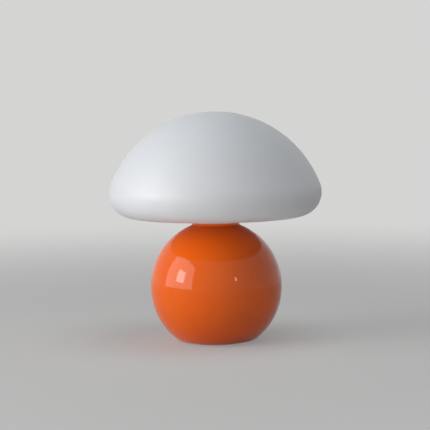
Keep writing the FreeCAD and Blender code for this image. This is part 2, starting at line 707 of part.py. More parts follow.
def bulb_tip():
    """Solder tip, the centre contact."""
    blank = cylinder(BULB_TIP_RADIUS, BULB_TIP_HEIGHT, Vector(0, 0, BULB_TIP_Z), Vector(0, 0, 1))
    return rounded(blank, BULB_TIP_HEIGHT / 2, [(BULB_TIP_RADIUS, BULB_TIP_Z)])


def bulb_outline():
    """Steps of the candle shaped glass, from its tip down to its neck in the cap."""
    neck = BULB_SKIRT_RADIUS - BULB_CAP_WALL - CEMENT
    tip_out = BULB_TIP_ROUND * facing(BULB_TIP_ANGLE)[0]
    flank = (BULB_RADIUS - tip_out) / (1 - facing(BULB_TIP_ANGLE)[0])
    shrink = 1 - facing(BULB_WAIST_ANGLE)[0]
    lower = (BULB_RADIUS - neck) / shrink - BULB_WAIST_BEND
    return [
        bend(BULB_TIP_ROUND, 90, BULB_TIP_ANGLE),
        bend(flank, BULB_TIP_ANGLE, 0),
        bend(lower, 0, BULB_WAIST_ANGLE),
        bend(-BULB_WAIST_BEND, BULB_WAIST_ANGLE, 0),
        run(BULB_GLASS_IN_CAP, 0),
    ]


def bulb_glass_foot():
    return BULB_CAP_TOP_Z - BULB_GLASS_IN_CAP


def bulb_glass():
    steps = bulb_outline()
    _, fall = drop_of(steps)
    return thin_wall((0, bulb_glass_foot() + fall), steps, BULB_GLASS_WALL)


def bulb_stem():
    """Glass pillar that carries the filaments, flared at its foot to close the bulb's neck."""
    foot = bulb_glass_foot()
    flare = BULB_SKIRT_RADIUS - BULB_CAP_WALL - CEMENT - BULB_GLASS_WALL - CEMENT
    top = bulb_stem_top()
    return turned(
        [
            (0, foot),
            (flare, foot),
            (flare, foot + BULB_GLASS_WALL),
            ((flare + BULB_STEM_RADIUS) / 3, foot + BULB_STEM_FOOT / 2),
            (BULB_STEM_RADIUS, foot + BULB_STEM_FOOT),
            (BULB_STEM_RADIUS, top - BULB_STEM_HEAD),
            (BULB_STEM_RADIUS + BULB_STEM_HEAD / 2, top - BULB_STEM_HEAD / 2),
            (BULB_STEM_RADIUS, top),
            (0, top),
        ]
    )


def bulb_stem_top():
    return bulb_glass_foot() + BULB_STEM_FOOT + BULB_STEM_HEIGHT


def filament_ends(k):
    """Foot and head of filament k, both on a circle round the stem."""
    turn = math.radians(360 / FILAMENTS * (k + 0.5))
    out = Vector(math.cos(turn), math.sin(turn), 0)
    head_z = bulb_stem_top() + FILAMENT_ABOVE_STEM
    foot = out * FILAMENT_CIRCLE + Vector(0, 0, head_z - FILAMENT_LENGTH)
    return foot, foot + Vector(0, 0, FILAMENT_LENGTH)


def bulb_filaments():
    rods = [rod_between(*filament_ends(k), FILAMENT_RADIUS) for k in range(FILAMENTS)]
    return Part.makeCompound(rods)


def bulb_wires(stem, rods):
    """Support wires: a spider from the stem's head to the filaments, and a leg under each one."""
    wires = []
    for k in range(FILAMENTS):
        foot, head = filament_ends(k)
        root = Vector(foot.x, foot.y, 0).normalize() * (BULB_STEM_RADIUS / 2)
        hub = root + Vector(0, 0, bulb_stem_top() - 2 * WIRE_RADIUS)
        wires.append(rod_between(hub, head + Vector(0, 0, WIRE_RADIUS), WIRE_RADIUS))
        leg = root + Vector(0, 0, foot.z - WIRE_LEG_RISE)
        wires.append(rod_between(leg, foot - Vector(0, 0, WIRE_RADIUS), WIRE_RADIUS))
    return Part.makeCompound([wire.cut([stem] + rods.Solids) for wire in wires])


# ---------------------------------------------------------------- build and export
def build():
    shell = base_shell()
    stem_of_bulb = bulb_stem()
    filaments = bulb_filaments()
    return {
        "base_shell": shell,
        "inlet_grommet": inlet_grommet(shell),
        "base_plate": base_plate(),
        "foot_pad": foot_pad(),
        "weight": weight(),
        "stem_tube": stem_tube(),
        "stem_nut": hex_nut(LOWER_NUT_Z, NUT_HEIGHT, NUT_FLATS, STEM_RADIUS + THREAD_FIT),
        "stem_washer": ring(STEM_HOLE, WASHER_RADIUS, LOWER_NUT_Z + NUT_HEIGHT, WASHER_THICKNESS),
        "weight_nut": hex_nut(WEIGHT_NUT_Z, NUT_HEIGHT, NUT_FLATS, STEM_RADIUS + THREAD_FIT),
        "earth_tag": earth_tag(),
        "earth_screw": earth_screw(),
        "neck_cup": neck_cup(),
        "cup_washer": ring(STEM_HOLE, WASHER_RADIUS, CUP_FLOOR_Z, WASHER_THICKNESS),
        "cup_nut": hex_nut(CUP_NUT_Z, NUT_HEIGHT, NUT_FLATS, STEM_RADIUS + THREAD_FIT),
        "neck_ring": neck_ring(),
        "shade_glass": shade_glass(),
        "holder_cap": holder_cap(),
        "holder_grub_screw": holder_grub_screw(),
        "holder_core": holder_core(),
        "holder_terminals": holder_terminals(),
        "holder_centre_contact": holder_centre_contact(),
        "holder_side_contact": holder_side_contact(),
        "holder_sleeve": holder_sleeve(),
        "holder_barrel": holder_barrel(),
        "bulb_cap": bulb_cap(),
        "bulb_insulator": bulb_insulator(),
        "bulb_tip": bulb_tip(),
        "bulb_glass": bulb_glass(),
        "bulb_stem": stem_of_bulb,
        "bulb_filaments": filaments,
        "bulb_wires": bulb_wires(stem_of_bulb, filaments),
    }


os.makedirs("parts", exist_ok=True)
for name, shape in build().items():
    shape.exportStep(f"parts/{name}.step")
    box = shape.BoundBox
    span = f"z {box.ZMin:7.2f} to {box.ZMax:7.2f}"
    print(f"{name:22s} {span}, solids {len(shape.Solids)}, {shape.Volume:9.1f} mm3")
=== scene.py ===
# %% [markdown]
# # A mushroom table lamp
#
# The lamp is a domed cap of white opal glass that stands on a round, gloss orange ball. The
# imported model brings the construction: where every piece is, and how the cap lifts off. This file
# gives the pieces their finished surfaces, sets the light and the camera, and never moves
# anything.

import json
import math

import bmesh
import bpy
from mathutils import Matrix, Vector


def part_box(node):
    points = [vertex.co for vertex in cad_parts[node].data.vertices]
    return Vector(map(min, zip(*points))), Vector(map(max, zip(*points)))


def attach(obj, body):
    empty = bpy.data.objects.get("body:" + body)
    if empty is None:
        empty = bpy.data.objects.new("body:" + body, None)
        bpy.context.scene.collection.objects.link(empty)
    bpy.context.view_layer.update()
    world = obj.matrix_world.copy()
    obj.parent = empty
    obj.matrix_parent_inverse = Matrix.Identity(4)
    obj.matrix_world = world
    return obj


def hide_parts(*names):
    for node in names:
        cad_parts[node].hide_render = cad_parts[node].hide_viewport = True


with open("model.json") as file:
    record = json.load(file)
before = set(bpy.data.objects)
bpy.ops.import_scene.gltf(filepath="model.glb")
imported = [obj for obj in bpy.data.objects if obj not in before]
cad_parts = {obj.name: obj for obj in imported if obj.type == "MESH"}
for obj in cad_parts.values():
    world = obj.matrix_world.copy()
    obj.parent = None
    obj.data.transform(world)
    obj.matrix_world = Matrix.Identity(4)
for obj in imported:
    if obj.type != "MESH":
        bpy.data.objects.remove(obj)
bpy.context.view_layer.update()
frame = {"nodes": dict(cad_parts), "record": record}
nodes = frame["nodes"]
record = frame["record"]
body_of = {node: body for body, held in record["behaviour"]["bodies"].items() for node in held}
slot_of = {part["node"]: part["material_slot"] for part in record["subparts"]}

# %% [markdown]
# All lengths are in metres, as Blender has them. The outlines below are easier to read in
# millimetres, so they are written as a number times MM.

# %% Units and the sizes that the frame gives
MM = 0.001

cap_low, cap_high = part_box("shade_glass")
ball_low, ball_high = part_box("base_shell")
CAP_RADIUS = 125.0 * MM
CAP_TOP = cap_high.z
LIP_Z = cap_low.z
print("cap", cap_low, cap_high)
print("ball", ball_low, ball_high)

# %% [markdown]
# ## The camera
#
# The camera stands 1.8 m away, a few centimetres higher than the crown, and looks down a little.
# From there the underside of the cap is just hidden. A long lens keeps the two round forms round.
# The picture leans by less than a degree, so the camera is rolled by that much and the lamp
# itself stays upright. Half a pixel of lens shift puts the lamp where it is in the picture,
# without turning the camera.

# %% Camera
PICTURE = 430.0  # pixels across the square picture
FOCAL_PIXELS = 1533.4
CAMERA_DISTANCE = 1.8
CAMERA_HEIGHT = 0.3023
CAMERA_PITCH = 0.0853
CAMERA_ROLL = -0.0124
SENSOR = 36.0
AXIS_COLUMN = 215.5  # the lamp's axis, in pixels from the picture's left edge

camera_data = bpy.data.cameras.new("camera")
camera_data.sensor_width = SENSOR
camera_data.lens = FOCAL_PIXELS * SENSOR / PICTURE
camera_data.shift_x = (PICTURE / 2 - AXIS_COLUMN) / PICTURE
camera = bpy.data.objects.new("camera", camera_data)
bpy.context.scene.collection.objects.link(camera)
camera.location = (0, -CAMERA_DISTANCE, CAMERA_HEIGHT)
look = Matrix.Rotation(math.pi / 2 - CAMERA_PITCH, 4, "X") @ Matrix.Rotation(CAMERA_ROLL, 4, "Z")
camera.rotation_euler = look.to_euler()
bpy.context.scene.camera = camera
print("lens", round(camera_data.lens, 1), "mm")

# %% [markdown]
# ## Outlines
#
# Nearly every piece of this lamp is turned, so an outline spun once round the axis makes it. The
# outline itself is drawn the same way: one point is spun about the centre of each arc, and a
# straight stretch is one extruded point. A step is named by the way its surface faces, in degrees
# above the horizon, so that neighbouring arcs meet smoothly and no coordinate has to be worked
# out by hand.

# %% Drawing an outline by spinning a point
def facing(angle):
    """Unit vector of a surface that faces this many degrees above the horizon."""
    return Vector((math.cos(math.radians(angle)), 0, math.sin(math.radians(angle))))


def run(length, angle):
    return ("run", length, angle, angle)


def bend(radius, start, end):
    """A tangent arc between two facings. A negative radius makes it hollow."""
    return ("bend", radius, start, end)


ARC_DEGREES = 3.0  # an arc gets one edge for about this many degrees
ARC_EDGE = 2.2 * MM  # and none longer than this


def draw(bm, start, steps):
    """Adds the outline's points to bm and returns them in order."""
    chain = [bm.verts.new(start)]
    for kind, size, first, last in steps:
        tail = chain[-1]
        if kind == "run":
            new = bmesh.ops.extrude_vert_indiv(bm, verts=[tail])["verts"][0]
            along = facing(first - 90)
            bmesh.ops.translate(bm, verts=[new], vec=along * size)
            chain.append(new)
            continue
        turn = math.radians(first - last)
        by_angle = math.ceil(abs(first - last) / ARC_DEGREES)
        by_length = math.ceil(abs(size * turn) / ARC_EDGE)
        centre = tail.co - facing(first) * size
        before = set(bm.verts)
        bmesh.ops.spin(
            bm, geom=[tail], cent=centre, axis=(0, 1, 0), angle=turn,
            steps=max(2, by_angle, by_length),
        )
        new = [v for v in bm.verts if v not in before]
        # No arc goes past a half turn, so the distance from its start puts its points in order.
        new.sort(key=lambda v: (v.co - tail.co).length)
        chain.extend(new)
    return chain


# %% [markdown]
# Spinning the outline once round the axis gives an open skin. Its faces are turned outwards
# first, and only then does it get its thickness, because on a closed wall the same step would
# turn the inner side round.

# %% Turning an outline into a wall
ROUND = 128  # faces round a large piece
DOUBLED = 0.002 * MM  # corners nearer than this are one corner


def finish_mesh(bm, name, smooth=40):
    """Makes an object of bm, shaded smooth except over edges sharper than smooth degrees."""
    for face in bm.faces:
        face.smooth = True
    for edge in bm.edges:
        if len(edge.link_faces) == 2:
            edge.smooth = edge.calc_face_angle(0) < math.radians(smooth)
    mesh = bpy.data.meshes.new(name)
    bm.to_mesh(mesh)
    bm.free()
    piece = bpy.data.objects.new(name, mesh)
    bpy.context.scene.collection.objects.link(piece)
    return piece


def spin_round(bm, around=ROUND):
    bmesh.ops.spin(
        bm, geom=bm.verts[:] + bm.edges[:], cent=(0, 0, 0), axis=(0, 0, 1),
        angle=2 * math.pi, steps=around, use_merge=True,
    )
    bmesh.ops.remove_doubles(bm, verts=bm.verts[:], dist=DOUBLED)


def outwards(bm, inside):
    """Points the faces away from inside, a point that the skin goes round."""
    bmesh.ops.recalc_face_normals(bm, faces=bm.faces[:])
    inside = Vector(inside)
    probe = max(bm.faces, key=lambda f: (f.calc_center_median() - inside).length)
    if probe.normal.dot(probe.calc_center_median() - inside) < 0:
        bmesh.ops.reverse_faces(bm, faces=bm.faces[:])


def size_of(piece):
    low = Vector([min(v.co[k] for v in piece.data.vertices) for k in range(3)])
    high = Vector([max(v.co[k] for v in piece.data.vertices) for k in range(3)])
    return "x %.1f to %.1f, z %.1f to %.1f mm" % tuple(
        value / MM for value in (low.x, high.x, low.z, high.z)
    )


# %% [markdown]
# ## The glass cap
#
# The real cap is blown in one piece. Its crown is a wide arc, a tighter arc rolls it under at the
# cheek, the underside sags a little towards the middle, and a short neck drops into the lamp's
# neck cup. The wall is an even 2.7 mm, and the neck's lip is fire polished, so it is round.
# A squashed sphere would be quicker to make, but its cheek would be too sharp and the neck would
# have to be joined on. So the cap is one outline of arcs that meet smoothly. Only the outside is
# drawn: the solidify step sets the inside off evenly, and a bevel rounds the lip.

# %% Glass cap
GLASS_WALL = 2.7 * MM
GLASS_RISE = 95.2 * MM
CHEEK_RADIUS = 27.6 * MM
CHEEK_END = -86.0
UNDERSIDE_END = -88.4
NECK_RADIUS = 24.6 * MM
NECK_BEND = 3.0 * MM
NECK_LENGTH = 15.9 * MM
LIP_ROUND = 0.48  # the round on each of the lip's two edges, as a share of the wall
LEVEL = 0.01 * MM  # how far from level the lip's edges may be
ALONG = 0.1 * MM  # how much an edge that runs round the lip may change its radius

reach = CAP_RADIUS - CHEEK_RADIUS
CROWN_RADIUS = (reach**2 + GLASS_RISE**2 - CHEEK_RADIUS**2) / (2 * (GLASS_RISE - CHEEK_RADIUS))
crown_edge = math.degrees(math.atan2(CROWN_RADIUS - GLASS_RISE, reach))
print("crown radius", round(CROWN_RADIUS / MM, 1), "mm, down to a facing of", round(crown_edge, 1))


def glass_cap():
    cheek_foot = reach + CHEEK_RADIUS * facing(CHEEK_END).x
    neck_start = NECK_RADIUS + NECK_BEND * (1 - facing(UNDERSIDE_END).x)
    underside = (cheek_foot - neck_start) / (facing(CHEEK_END).x - facing(UNDERSIDE_END).x)
    neck_fall = -NECK_BEND * facing(UNDERSIDE_END).z
    bm = bmesh.new()
    draw(bm, (0, 0, CAP_TOP), [
        bend(CROWN_RADIUS, 90, crown_edge),
        bend(CHEEK_RADIUS, crown_edge, CHEEK_END),
        bend(underside, CHEEK_END, UNDERSIDE_END),
        bend(-NECK_BEND, UNDERSIDE_END, 0),
        run(NECK_LENGTH - neck_fall - GLASS_WALL / 2, 0),
    ])
    spin_round(bm)
    outwards(bm, (0, 0, CAP_TOP - CROWN_RADIUS / 2))
    bmesh.ops.solidify(bm, geom=bm.faces[:], thickness=GLASS_WALL)
    low = min(v.co.z for v in bm.verts)
    lip = []
    for edge in bm.edges:
        one, other = (v.co for v in edge.verts)
        if max(one.z, other.z) - low < LEVEL and abs(one.xy.length - other.xy.length) < ALONG:
            lip.append(edge)
    bmesh.ops.translate(
        bm, verts=list({v for e in lip for v in e.verts}), vec=(0, 0, LIP_Z - low),
    )
    bmesh.ops.bevel(
        bm, geom=lip, offset=GLASS_WALL * LIP_ROUND, segments=5, profile=0.5,
        affect="EDGES", material=-1,
    )
    return finish_mesh(bm, "opal_cap")


opal_cap = glass_cap()
print("opal_cap", len(opal_cap.data.polygons), "faces,", size_of(opal_cap))
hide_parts("shade_glass")
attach(opal_cap, "shade")

# %% [markdown]
# ## The ball
#
# The base is one spun steel shell. It is a little taller than a true ball, because its two halves
# meet in a narrow straight belt, and it ends in a foot that turns in and steps up to lie on the
# base plate. At the top a short collar stands up round the neck hole. A sphere primitive would
# give the ball alone, and the rest would have to be joined to it at seams, so here too all of it
# is one outline. The cable's hole is opened in the skin before it has a wall, so that solidify
# closes the hole's edge as well.

# %% Ball
BALL_RADIUS = 77.4 * MM
BALL_BELT = 1.4 * MM
BALL_WALL = 1.2 * MM
FOOT_ROUND = 10.0 * MM
FOOT_RING_RADIUS = 42.5 * MM
FOOT_LAND = 1.0 * MM
FOOT_RECESS = 2.3 * MM
FOOT_STEP_BEND = 0.4 * MM
FOOT_FLANGE = 4.0 * MM
COLLAR_RADIUS = 28.0 * MM
COLLAR_HEIGHT = 1.5 * MM
COLLAR_BEND = 2.5 * MM

collar_reach = BALL_RADIUS + COLLAR_BEND
foot_reach = BALL_RADIUS - FOOT_ROUND
collar_facing = math.degrees(math.acos((COLLAR_RADIUS + COLLAR_BEND) / collar_reach))
foot_facing = -math.degrees(math.acos(FOOT_RING_RADIUS / foot_reach))
foot_turn = BALL_WALL + FOOT_STEP_BEND
low_centre = Vector((0, 0, ball_low.z + FOOT_ROUND - foot_reach * facing(foot_facing).z))
collar_top = low_centre.z + BALL_BELT + collar_reach * facing(collar_facing).z + COLLAR_HEIGHT


def ball():
    bm = bmesh.new()
    draw(bm, (COLLAR_RADIUS, 0, collar_top), [
        run(COLLAR_HEIGHT, 0),
        bend(-COLLAR_BEND, 0, collar_facing),
        bend(BALL_RADIUS, collar_facing, 0),
        run(BALL_BELT, 0),
        bend(BALL_RADIUS, 0, foot_facing),
        bend(FOOT_ROUND, foot_facing, -90),
        run(FOOT_LAND, -90),
        bend(foot_turn, -90, -180),
        run(FOOT_RECESS - foot_turn - FOOT_STEP_BEND, -180),
        bend(-FOOT_STEP_BEND, -180, -90),
        run(FOOT_FLANGE - FOOT_STEP_BEND, -90),
    ])
    spin_round(bm)
    outwards(bm, low_centre)
    open_inlet(bm)
    bmesh.ops.solidify(bm, geom=bm.faces[:], thickness=BALL_WALL)
    return finish_mesh(bm, "ball")


INLET_DROP = math.radians(35.0)
INLET_HOLE = 4.6 * MM
INLET_SEARCH = 3 * INLET_HOLE  # the hole's edge lies within this, and the collar's doesn't
inlet_way = Vector((0, math.cos(INLET_DROP), -math.sin(INLET_DROP)))
inlet_seat = low_centre + inlet_way * BALL_RADIUS


def open_inlet(bm):
    """Takes out the faces inside the cable hole and draws the edge left behind into a circle."""
    inside = [f for f in bm.faces if (f.calc_center_median() - inlet_seat).length < INLET_HOLE]
    bmesh.ops.delete(bm, geom=inside, context="FACES")
    for v in {v for e in bm.edges if e.is_boundary for v in e.verts}:
        away = v.co - inlet_seat
        if away.length > INLET_SEARCH:
            continue
        away -= inlet_way * away.dot(inlet_way)
        on_circle = inlet_seat + away.normalized() * INLET_HOLE
        v.co = low_centre + (on_circle - low_centre).normalized() * BALL_RADIUS


orange_ball = ball()
print("ball", len(orange_ball.data.polygons), "faces,", size_of(orange_ball))
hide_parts("base_shell")
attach(orange_ball, "base")

# %% [markdown]
# ## Writing finishes as arithmetic
#
# A finish is a small graph of shader nodes. Wiring those by hand is slow to read, so a Value
# wraps one socket and gives it + and *: writing `0.4 + mask * 0.2` adds the Math nodes.
# Everything that isn't arithmetic goes through one method that takes a node's kind, its settings
# and its inputs.

# %% Values and finishes
class Value:
    """One output socket that Python arithmetic works on."""

    def __init__(self, graph, socket):
        self.graph = graph
        self.socket = socket

    def _math(self, operation, a, b):
        return self.graph.add("ShaderNodeMath", {"operation": operation}, {0: a, 1: b})

    def __add__(self, other):
        return self._math("ADD", self, other)

    def __radd__(self, other):
        return self._math("ADD", other, self)

    def __mul__(self, other):
        return self._math("MULTIPLY", self, other)

    def __rmul__(self, other):
        return self._math("MULTIPLY", other, self)

    def larger(self, other):
        return self._math("MAXIMUM", self, other)


class Graph:
    """A tree of shader nodes under construction."""

    def __init__(self, tree):
        self.tree = tree
        tree.nodes.clear()

    def plug(self, socket, value):
        """Links a Value to a socket, or sets the socket to a plain number or colour."""
        if isinstance(value, Value):
            self.tree.links.new(value.socket, socket)
            return
        short_colour = socket.type == "RGBA" and len(value) == 3
        socket.default_value = (*value, 1.0) if short_colour else value

    def add(self, kind, settings=None, inputs=None, output=0):
        """Adds any node: its settings first, then the values or links of its sockets."""
        node = self.tree.nodes.new(kind)
        for key, value in (settings or {}).items():
            if key == "stops":
                while len(node.color_ramp.elements) < len(value):
                    node.color_ramp.elements.new(0.5)
                for element, (position, colour) in zip(node.color_ramp.elements, value):
                    element.position = position
                    element.color = (*colour, 1.0)
            else:
                setattr(node, key, value)
        for key, value in (inputs or {}).items():
            self.plug(node.inputs[key], value)
        return Value(self, node.outputs[output]) if node.outputs else None


class Finish(Graph):
    """A material's graph, with a Principled shader that takes the results."""

    def __init__(self, name, **numbers):
        self.material = bpy.data.materials.new(name)
        self.material.use_nodes = True
        super().__init__(self.material.node_tree)
        self.shader = self.tree.nodes.new("ShaderNodeBsdfPrincipled")
        self.output = self.tree.nodes.new("ShaderNodeOutputMaterial")
        self.surface = Value(self, self.shader.outputs[0])
        self.show(self.surface)
        self.feed(**numbers)

    def show(self, surface):
        self.plug(self.output.inputs["Surface"], surface)

    def feed(self, **inputs):
        """Sets or links the shader's sockets. base_color stands for Base Color."""
        for key, value in inputs.items():
            name = key.replace("_", " ").title().replace("Ior", "IOR")
            self.plug(self.shader.inputs[name], value)


# %% [markdown]
# A few things that most finishes need: the place on the piece, soft and fine noise, a blend of
# two colours, and a bump. The noise scales are given as the size of a blotch in metres.

# %% Helpers for patterns
def place(finish, stretch=(1, 1, 1)):
    where = finish.add("ShaderNodeTexCoord", output=3)
    return finish.add("ShaderNodeMapping", {}, {"Vector": where, "Scale": stretch})


def noise(finish, where, blotch, detail=2.0, roughness=0.5):
    """Noise from 0 to 1 whose blotches are about this size."""
    return finish.add(
        "ShaderNodeTexNoise", {},
        {"Vector": where, "Scale": 1 / blotch, "Detail": detail, "Roughness": roughness},
    )


def blend_colours(finish, factor, a, b):
    return finish.add("ShaderNodeMix", {"data_type": "RGBA"}, {0: factor, 6: a, 7: b}, output=2)


def ramp(finish, value, *stops):
    """Greys between stops given as (position, brightness)."""
    colours = [(position, (grey, grey, grey)) for position, grey in stops]
    return finish.add("ShaderNodeValToRGB", {"stops": colours}, {0: value})


def bump(finish, height, depth, normal=None):
    """A bump of this depth in metres."""
    inputs = {"Height": height, "Distance": depth, "Strength": 1.0}
    if normal:
        inputs["Normal"] = normal
    return finish.add("ShaderNodeBump", {}, inputs)


def dress(piece, finish):
    piece.data.materials.clear()
    piece.data.materials.append(finish.material)


# %% [markdown]
# ## Opal glass
#
# The glass is white all through, and its skin is etched with acid, which leaves it satin. It has
# no sharp reflections, only a broad sheen. Plain white paint would look hard beside it, because
# light goes a few millimetres into opal glass and comes out again elsewhere, so the finish uses
# subsurface scattering of that depth. Blown glass is never quite even, so its skin also has a
# slow swell, and the etching leaves a very fine grain.

# %% Opal glass
def opal_glass():
    f = Finish(
        "opal_glass", ior=1.5, subsurface_weight=1.0, subsurface_radius=(1.0, 0.98, 0.95),
        subsurface_scale=5.0 * MM, coat_weight=0.25, coat_roughness=0.3,
    )
    where = place(f)
    cloud = noise(f, where, 45 * MM, detail=3)
    grain = noise(f, where, 0.35 * MM, detail=1)
    swell = noise(f, where, 60 * MM, detail=1)
    f.feed(
        base_color=blend_colours(f, cloud, (0.708, 0.729, 0.758), (0.738, 0.759, 0.788)),
        roughness=0.40 + grain * 0.08 + cloud * 0.05,
    )
    slow = bump(f, swell, 0.35 * MM)
    f.feed(normal=bump(f, grain, 0.008 * MM, slow))
    return f


dress(opal_cap, opal_glass())

# %% [markdown]
# ## Orange lacquer
#
# The steel is sprayed with an orange base coat and then a clear one. The clear coat gives the
# sharp reflections. The base coat lies bonded inside it and has none of its own, so its
# reflection is off. Sprayed lacquer has a faint orange peel, here a bump of a few thousandths of
# a millimetre, and after some years a few fine wipe marks.

# %% Orange lacquer
def orange_lacquer():
    f = Finish(
        "orange_lacquer", coat_weight=1.0, coat_roughness=0.035, coat_ior=1.42,
        specular_ior_level=0.0,
    )
    where = place(f)
    cloud = noise(f, where, 30 * MM, detail=3)
    peel = noise(f, where, 2.2 * MM, detail=2)
    wipes = noise(f, place(f, (1, 1, 9)), 9 * MM, detail=6, roughness=0.7)
    marks = ramp(f, wipes, (0.52, 0.0), (0.75, 1.0))
    f.feed(
        base_color=blend_colours(f, cloud, (0.89, 0.115, 0.0), (0.92, 0.142, 0.0)),
        roughness=0.30 + marks * 0.10,
    )
    f.feed(normal=bump(f, peel, 0.006 * MM))
    return f


dress(orange_ball, orange_lacquer())

# %% [markdown]
# ## Metals
#
# The hardware inside the lamp is plated or bare metal. What tells one metal from another is its
# colour, how blurred its reflections are, and the marks that its making leaves: zinc plate has a
# faint cloudy spangle, turned brass has fine rings and a little tarnish, nickel is thin and
# nearly clean. One function makes all of them, with those as its numbers.

# %% Plated and bare metals
def metal(name, pale, deep, shine, cloud_size, scratch=0.5):
    """A metal between two colours. shine is its roughness, lowest and highest."""
    f = Finish(name, metallic=1.0)
    where = place(f)
    cloud = noise(f, where, cloud_size, detail=4, roughness=0.6)
    dust = noise(f, where, 0.9 * MM, detail=3, roughness=0.7)
    lines = noise(f, place(f, (1, 1, 30)), 4 * MM, detail=4, roughness=0.7)
    f.feed(
        base_color=blend_colours(f, ramp(f, cloud, (0.3, 0.0), (0.7, 1.0)), pale, deep),
        roughness=shine[0] + (shine[1] - shine[0]) * (cloud * 0.5 + dust * 0.5) + lines * 0.04,
    )
    f.feed(normal=bump(f, lines * scratch + dust * 0.5, 0.006 * MM))
    return f


# %% [markdown]
# Cast iron is rough from its sand mould, and here it has a thin black paint that rounds the
# grains off without filling them. Grains in the mesh itself would cost many faces on a piece that
# is hidden in the ball, so they are a bump.

# %% Cast iron
def cast_iron():
    f = Finish("cast_iron", coat_weight=0.15, coat_roughness=0.4)
    where = place(f)
    sand = noise(f, where, 0.8 * MM, detail=5, roughness=0.65)
    lumps = noise(f, where, 6 * MM, detail=3)
    f.feed(
        base_color=blend_colours(f, lumps, (0.018, 0.018, 0.019), (0.050, 0.047, 0.045)),
        roughness=0.50 + sand * 0.30,
    )
    f.feed(normal=bump(f, sand + lumps * 0.8, 0.18 * MM))
    return f


# %% [markdown]
# ## Felt, rubber and silicone
#
# Felt is a mat of loose fibres, so its colour and height both come from noise that is stretched
# in three directions, as crossing fibres are. A little sheen stands for the fuzz on top. Rubber
# is dark and nearly matt with a pale bloom, and silicone is milky, so light goes some way into
# it.

# %% Felt
FIBRE_WAYS = ((1, 5, 5), (5, 1, 5), (3, 3, 1))


def grey_felt():
    f = Finish("grey_felt", sheen_weight=0.35, sheen_roughness=0.5, sheen_tint=(0.5, 0.5, 0.52))
    strands = [noise(f, place(f, way), 0.9 * MM, detail=3, roughness=0.7) for way in FIBRE_WAYS]
    fibres = (strands[0] + strands[1] + strands[2]) * (1 / 3)
    patches = noise(f, place(f), 5 * MM, detail=2)
    f.feed(
        base_color=blend_colours(
            f, ramp(f, fibres, (0.35, 0.0), (0.65, 1.0)),
            (0.050, 0.050, 0.054), (0.105, 0.103, 0.105),
        ),
        roughness=0.86 + patches * 0.10,
    )
    f.feed(normal=bump(f, fibres, 0.35 * MM))
    return f


# %% Rubber
def black_rubber():
    f = Finish("black_rubber", ior=1.52)
    where = place(f)
    bloom = noise(f, where, 3 * MM, detail=4, roughness=0.6)
    grain = noise(f, where, 0.25 * MM, detail=2)
    f.feed(
        base_color=blend_colours(
            f, ramp(f, bloom, (0.45, 0.0), (0.75, 1.0)),
            (0.014, 0.014, 0.015), (0.034, 0.034, 0.036),
        ),
        roughness=0.52 + bloom * 0.16 + grain * 0.05,
    )
    f.feed(normal=bump(f, grain, 0.012 * MM))
    return f


# %% Silicone
def clear_silicone():
    f = Finish(
        "clear_silicone", ior=1.41, subsurface_weight=0.6, subsurface_radius=(1.0, 1.0, 1.0),
        subsurface_scale=1.5 * MM,
    )
    where = place(f)
    milk = noise(f, where, 2.5 * MM, detail=3)
    f.feed(
        base_color=blend_colours(f, milk, (0.62, 0.63, 0.64), (0.76, 0.77, 0.77)),
        roughness=0.28 + milk * 0.14,
    )
    f.feed(normal=bump(f, milk, 0.02 * MM))
    return f


# %% [markdown]
# ## Mouldings and porcelain
#
# The lampholder is a phenolic moulding: black, semi gloss, with slow flow marks from its mould
# and a few pale dust specks. The core that carries its contacts is porcelain, glazed thinly
# enough for the clay's grain and a few iron specks to show.

# %% Phenolic
def black_phenolic():
    f = Finish("black_phenolic", coat_weight=0.3, coat_roughness=0.18, ior=1.55)
    where = place(f)
    flow = noise(f, place(f, (1, 1, 0.35)), 7 * MM, detail=3, roughness=0.6)
    specks = noise(f, where, 0.5 * MM, detail=1)
    f.feed(
        base_color=blend_colours(
            f, ramp(f, specks, (0.68, 0.0), (0.78, 1.0)),
            (0.011, 0.010, 0.010), (0.055, 0.050, 0.046),
        ),
        roughness=0.26 + flow * 0.12,
    )
    f.feed(normal=bump(f, flow, 0.02 * MM))
    return f


# %% Porcelain
def white_porcelain():
    f = Finish("white_porcelain", coat_weight=0.6, coat_roughness=0.12)
    where = place(f)
    clay = noise(f, where, 4 * MM, detail=4)
    specks = noise(f, where, 0.7 * MM, detail=1)
    body = blend_colours(f, clay, (0.70, 0.68, 0.63), (0.78, 0.765, 0.72))
    iron = ramp(f, specks, (0.72, 0.0), (0.80, 0.8))
    f.feed(
        base_color=blend_colours(f, iron, body, (0.20, 0.15, 0.10)),
        roughness=0.30 + clay * 0.15,
    )
    f.feed(normal=bump(f, clay, 0.03 * MM))
    return f


# %% [markdown]
# ## The bulb's glass and filaments
#
# The bulb is clear, so what shows is its edges, the faint seeds and drawing lines in the glass,
# and the four yellow filaments inside. Each filament is a row of small chips under a coat of
# phosphor, so it is banded along its length.

# %% Clear glass
def clear_glass():
    f = Finish("clear_glass", transmission_weight=1.0, ior=1.47)
    where = place(f)
    drawn = noise(f, place(f, (1, 1, 0.12)), 5 * MM, detail=2)
    seeds = noise(f, where, 1.1 * MM, detail=1)
    f.feed(
        base_color=blend_colours(f, drawn, (0.94, 0.955, 0.95), (0.985, 0.99, 0.985)),
        roughness=0.004 + ramp(f, seeds, (0.72, 0.0), (0.80, 1.0)) * 0.05,
    )
    f.feed(normal=bump(f, drawn, 0.03 * MM))
    return f


# %% Black glass
def black_glass():
    f = Finish("black_glass", ior=1.55, coat_weight=0.4, coat_roughness=0.05)
    where = place(f)
    flow = noise(f, where, 2 * MM, detail=3)
    f.feed(
        base_color=blend_colours(f, flow, (0.006, 0.006, 0.007), (0.020, 0.019, 0.022)),
        roughness=0.10 + flow * 0.12,
    )
    f.feed(normal=bump(f, flow, 0.05 * MM))
    return f


